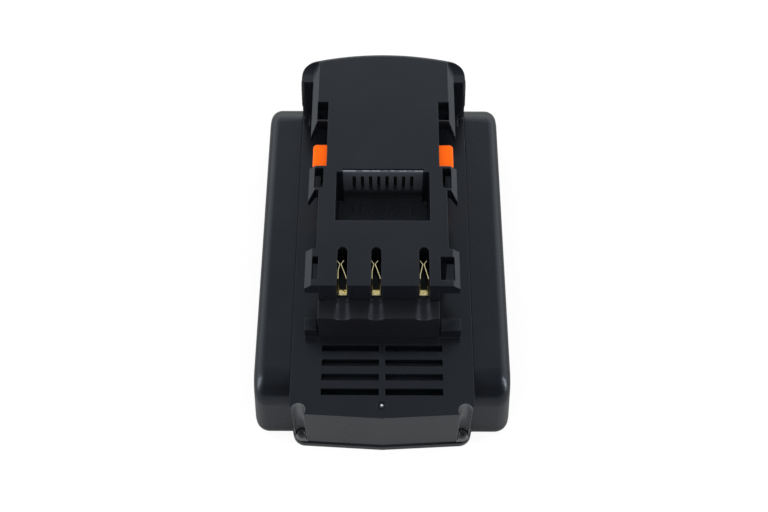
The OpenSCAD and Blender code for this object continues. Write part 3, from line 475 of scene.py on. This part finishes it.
class PACK_OT_shells(bpy.types.Operator):
    """Finishes the housing, the tray and the top cover"""

    bl_idname = "pack.shells"
    bl_label = "Shells"

    def execute(self, context):
        look = context.scene.pack_finish
        # ABS from a finely etched mould: near black, with broad soft highlights
        housing = moulded_plastic(
            "satin_abs_housing", look.housing, roughness=0.28, grain=0.5, depth=0.004 * MM,
            edge=look.shell_edge,
        )
        low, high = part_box("nose_screws")
        axis = (high[0] - (high[1] - low[1]) / 2, (low[1] + high[1]) / 2, 0.0)
        channel_r = 2.05 * MM
        # ABS from a smoother mould: tighter highlights, and a painted reflection that lightens the walls of
        # the screw channels
        cover = moulded_plastic(
            "satin_abs_cover", look.cover, roughness=0.24, grain=0.4, depth=0.003 * MM, edge=look.cover_edge,
            painted_light_marks=(painted_channel_reflection, look.channel_reflection, axis, channel_r),
        )
        dress(housing, "main_housing", "bottom_tray")
        dress(cover, "top_cover", "release_button_left", "release_button_right")
        soften(0, "main_housing", "top_cover", "release_button_left", "release_button_right")
        soften(look.tray_edge, "bottom_tray")
        return {"FINISHED"}


class PACK_OT_stub(bpy.types.Operator):
    """Adds the broken stub that the mould's filling point left in the nose's dimple"""

    bl_idname = "pack.stub"
    bl_label = "Stub"

    def execute(self, context):
        look = context.scene.pack_finish
        # ABS torn off where the mould was filled: whitened and rough
        white = moulded_plastic(
            "stress_whitened_abs", look.stub, roughness=0.5, grain=0.2, depth=0.03 * MM,
            edge=look.small_edge / 2,
        )
        low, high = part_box("top_cover")
        middle, place, floor = (low[0] + high[0]) / 2, low[1] + 4.1 * MM, 24.9 * MM
        foot_r, tip_r, tall, lift = 0.55 * MM, 0.3 * MM, 0.6 * MM, 0.25 * MM
        # The torn top goes up and down by this much, in waves of about 1.3 mm
        tear, wave, shift = 0.25 * MM, 5000, 3
        mesh = bmesh.new()
        bmesh.ops.create_cone(mesh, cap_ends=True, segments=9, radius1=foot_r, radius2=tip_r, depth=tall)
        for vert in mesh.verts:
            torn = tear * math.sin(wave * vert.co.x + shift) if vert.co.z > 0 else 0.0
            vert.co += Vector((middle, place, floor + lift + torn))
        new_piece("filling_stub", mesh, white)
        return {"FINISHED"}


class PACK_OT_contacts(bpy.types.Operator):
    """Finishes the contacts and the mouldings that carry them"""

    bl_idname = "pack.contacts"
    bl_label = "Contacts"

    def execute(self, context):
        look = context.scene.pack_finish
        # Glass-filled nylon: black, and duller than the shells
        holder = moulded_plastic(
            "glass_filled_nylon", look.holder, roughness=0.36, grain=0.3, depth=0.008 * MM,
            edge=look.small_edge,
        )
        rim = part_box("data_connector")[1][2] - 0.12 * MM
        # Nylon coloured grey in the mass, painted paler above a height as painted light, with painted
        # highlights on its edges and a painted highlight in broken stretches along its rim
        socket = moulded_plastic(
            "grey_nylon", look.socket, roughness=0.3, grain=0.3, depth=0.004 * MM, edge=look.small_edge,
            wear_and_highlight_share=0.6, wear_and_highlight_lift=0.06, painted_light_above=(32 * MM, 33.5 * MM, 2.7), painted_light_marks=(painted_lip_glints, look.lip_glint, rim),
        )
        # Bronze sheet, pressed and gold-plated: bright pale yellow, with broken reflections
        gold = plated_metal(
            "gold_plated_spring_bronze", look.contact, roughness=0.09, scratch=0.12, edge=look.small_edge / 2,
            dents=0.15 * MM,
        )
        # Tin-plated strip: a dull grey metal
        tin = plated_metal("dull_tin_plate", look.tin, roughness=0.35, scratch=0.12, edge=look.small_edge)
        dress(holder, "terminal_holder")
        dress(socket, "data_connector")
        dress(tin, "data_contacts")
        soften(0, "data_connector", "data_contacts")
        soften(look.small_edge, "terminal_holder")
        for name, bends in SPRINGS.items():
            soften(look.small_edge / 2, spring_contact(name, *bends, gold))
        return {"FINISHED"}


class PACK_OT_latches(bpy.types.Operator):
    """Finishes the latch tongues and makes their springs"""

    bl_idname = "pack.latches"
    bl_label = "Latches"

    def execute(self, context):
        look = context.scene.pack_finish
        # Acetal coloured orange in the mass: a strong even colour with a waxy, weak shine, and painted
        # highlights on its edges
        orange = moulded_plastic(
            "orange_acetal", look.latch, roughness=0.45, grain=0.3, depth=0.004 * MM, edge=look.cover_edge,
            wear_and_highlight_share=0.8, wear_and_highlight_lift=0.25, gloss=0.1,
        )
        # Drawn steel wire, zinc-plated: light grey with a soft shine
        spring = plated_metal(
            "zinc_plated_spring_steel", look.steel, roughness=0.28, scratch=0.1, edge=look.small_edge,
        )
        dress(orange, "latch_left", "latch_right")
        soften(look.cover_edge, "latch_left", "latch_right")
        for joint in frame["record"]["behaviour"]["joints"]:
            side = joint["name"].split("_")[0]
            soften(0, coil_spring(f"latch_spring_{side}", spring))
        return {"FINISHED"}


class PACK_OT_inside(bpy.types.Operator):
    """Finishes the board, the cells and what holds and joins them"""

    bl_idname = "pack.inside"
    bl_label = "Inside"

    def execute(self, context):
        look = context.scene.pack_finish
        edge = look.small_edge
        # Glass-epoxy sheet under green lacquer: smooth and shiny
        laminate = moulded_plastic(
            "solder_masked_laminate", look.mask, roughness=0.3, grain=0.6, depth=0.004 * MM, edge=edge,
        )
        dress(laminate, "circuit_board")
        # Epoxy moulded round the components: matt black
        epoxy = moulded_plastic(
            "moulded_epoxy", look.component, roughness=0.5, grain=0.2, depth=0.006 * MM, edge=edge,
        )
        dress(epoxy, "power_transistors", "controller_chip", "sense_resistor", "capacitors", "thermistor")
        # PVC tube shrunk onto the cells: dark and shiny, with slow waves
        sleeve = moulded_plastic(
            "shrunk_pvc_sleeve", look.sleeve, roughness=0.25, grain=2.0, depth=0.01 * MM, edge=edge,
        )
        dress(sleeve, *(f"cell_{i}" for i in range(1, 6)))
        # Vulcanised fibre, punched from sheet: matt, straw-coloured card
        fibre = moulded_plastic(
            "vulcanised_fibre", look.fibre, roughness=0.7, grain=0.5, depth=0.02 * MM, edge=edge,
        )
        dress(fibre, "cell_insulator_rings", "insulating_sheet", "end_sheet_left", "end_sheet_right")
        # ABS from a plain mould: matt black
        plain = moulded_plastic(
            "moulded_abs_frame", look.holder, roughness=0.5, grain=0.4, depth=0.01 * MM, edge=edge,
        )
        dress(plain, "cell_frame_left", "cell_frame_right")
        # Rolled steel strip, nickel-plated: warm grey with fine lines
        nickel = plated_metal("nickel_plated_strip", look.nickel, roughness=0.3, scratch=0.15, edge=edge)
        dress(nickel, "link_1_2", "link_2_3", "link_3_4", "link_4_5", "negative_tab", "positive_tab")
        # Steel screws, blackened: dark grey with a dull shine
        black = plated_metal("blackened_steel", look.screw, roughness=0.38, scratch=0.12, edge=edge)
        dress(black, "nose_screws", "rear_screws", "board_screws")
        return {"FINISHED"}


def by_ray(tree, camera, mirrored, other):
    """A value that depends on who looks: the camera, a reflection or a glass, or only the light on others."""
    rays = add(tree, "ShaderNodeLightPath").outputs
    gloss = add(tree, "ShaderNodeMath", {
        0: rays["Is Glossy Ray"], 1: rays["Is Transmission Ray"],
    }, operation="MAXIMUM")
    value = add(tree, "ShaderNodeMix", {"Factor": gloss.outputs[0], 2: other, 3: mirrored})
    return add(tree, "ShaderNodeMix", {
        "Factor": rays["Is Camera Ray"], 2: value.outputs[0], 3: camera,
    }).outputs[0]


def set_floor(setup):
    """White photo paper: it stays near white to the eye and still takes a soft shadow."""
    fibre_width = 1.5
    half = 1.5
    material, tree = new_material("white_photo_paper")
    place = add(tree, "ShaderNodeTexCoord").outputs["Object"]
    fibres = add(tree, "ShaderNodeTexNoise", {"Vector": place, "Scale": per_metre(fibre_width), "Detail": 3.0})
    shade = add(tree, "ShaderNodeMapRange", {"Value": fibres.outputs["Fac"], "To Min": 0.98, "To Max": 1.02})
    tint = add(tree, "ShaderNodeVectorMath", {0: setup.floor, "Scale": shade.outputs[0]}, operation="SCALE")
    paper = add(tree, "ShaderNodeBsdfDiffuse", {"Color": tint.outputs[0]})
    glow = add(tree, "ShaderNodeEmission", {"Color": WHITE, "Strength": by_ray(tree, 1.0, 0.1, 0.0)})
    close_material(tree, add(tree, "ShaderNodeMixShader", {
        "Fac": by_ray(tree, 0.85, 0.7, 0.0), 1: paper.outputs[0], 2: glow.outputs[0],
    }))
    mesh = bpy.data.meshes.new("photo_paper")
    corners = [(-half, -half, 0), (half, -half, 0), (half, half, 0), (-half, half, 0)]
    mesh.from_pydata(corners, [], [(0, 1, 2, 3)])
    mesh.materials.append(material)
    paper_sheet = bpy.data.objects.new("photo_paper", mesh)
    bpy.context.scene.collection.objects.link(paper_sheet)


def set_world(scene):
    """A white backdrop behind and beside the pack, darker overhead and towards the camera's side of the room.

    The gloss of the plastic shows this backdrop; the even light on matt surfaces is set apart from it.
    """
    even_light = 1.25
    world = bpy.data.worlds.new("white_surroundings")
    world.use_nodes = True
    tree = world.node_tree
    tree.nodes.clear()
    ray = add(tree, "ShaderNodeTexCoord").outputs["Generated"]
    toward = add(tree, "ShaderNodeSeparateXYZ", {0: ray}).outputs
    overhead = add(tree, "ShaderNodeMapRange", {
        "Value": toward["Z"], "From Min": 0.45, "From Max": 0.97, "To Min": 1.3, "To Max": 0.25,
    })
    front = add(tree, "ShaderNodeMapRange", {
        "Value": toward["Y"], "From Min": 0.1, "From Max": -0.7, "To Min": 1.0, "To Max": 0.04,
    })
    backdrop = add(tree, "ShaderNodeMath", {
        0: overhead.outputs[0], 1: front.outputs[0],
    }, operation="MULTIPLY").outputs[0]
    sky = add(tree, "ShaderNodeBackground", {
        "Color": WHITE, "Strength": by_ray(tree, 1.0, backdrop, even_light),
    })
    add(tree, "ShaderNodeOutputWorld", {"Surface": sky.outputs[0]})
    scene.world = world


class PACK_OT_stage(bpy.types.Operator):
    """Sets the floor, the white surroundings, the lights and the camera"""

    bl_idname = "pack.stage"
    bl_label = "Stage"

    def execute(self, context):
        scene = context.scene
        setup = scene.pack_stage
        scene.view_settings.view_transform = "Standard"
        set_floor(setup)
        set_world(scene)
        for name, place, aim, size, power in LAMPS:
            data = bpy.data.lights.new(name, "AREA")
            data.shape = "RECTANGLE"
            data.size, data.size_y = size
            data.energy = power
            lamp = bpy.data.objects.new(name, data)
            lamp.location = place
            lamp.rotation_euler = (Vector(aim) - Vector(place)).to_track_quat("-Z", "Y").to_euler()
            scene.collection.objects.link(lamp)
        view = bpy.data.cameras.new("photo_camera")
        view.sensor_width = SENSOR_WIDTH
        view.lens = setup.lens
        view.clip_start = 10 * MM
        camera = bpy.data.objects.new("photo_camera", view)
        camera.location = setup.camera_place
        camera.rotation_euler = (setup.camera_tilt, 0, setup.camera_turn)
        scene.collection.objects.link(camera)
        scene.camera = camera
        return {"FINISHED"}


class PACK_PT_sidebar(bpy.types.Panel):
    """Lists the steps and the values that they use"""

    bl_idname = "PACK_PT_sidebar"
    bl_label = "Battery pack"
    bl_space_type = "VIEW_3D"
    bl_region_type = "UI"
    bl_category = "Battery pack"

    def draw(self, context):
        for step in STEPS:
            self.layout.operator(step.bl_idname)
        for group in (context.scene.pack_finish, context.scene.pack_stage):
            column = self.layout.column()
            for key in group.__annotations__:
                column.prop(group, key)


STEPS = (PACK_OT_shells, PACK_OT_stub, PACK_OT_contacts, PACK_OT_latches, PACK_OT_inside, PACK_OT_stage)
CLASSES = (PackFinish, PackStage, *STEPS, PACK_PT_sidebar)


def register():
    """Adds the classes and their values to Blender."""
    for item in CLASSES:
        bpy.utils.register_class(item)
    bpy.types.Scene.pack_finish = PointerProperty(type=PackFinish)
    bpy.types.Scene.pack_stage = PointerProperty(type=PackStage)


def unregister():
    """Takes them out again."""
    del bpy.types.Scene.pack_stage
    del bpy.types.Scene.pack_finish
    for item in reversed(CLASSES):
        bpy.utils.unregister_class(item)


def main():
    """Dresses the pack step by step."""
    register()
    bpy.ops.pack.shells()
    bpy.ops.pack.stub()
    bpy.ops.pack.contacts()
    bpy.ops.pack.latches()
    bpy.ops.pack.inside()
    bpy.ops.pack.stage()


if __name__ == "__main__":
    main()
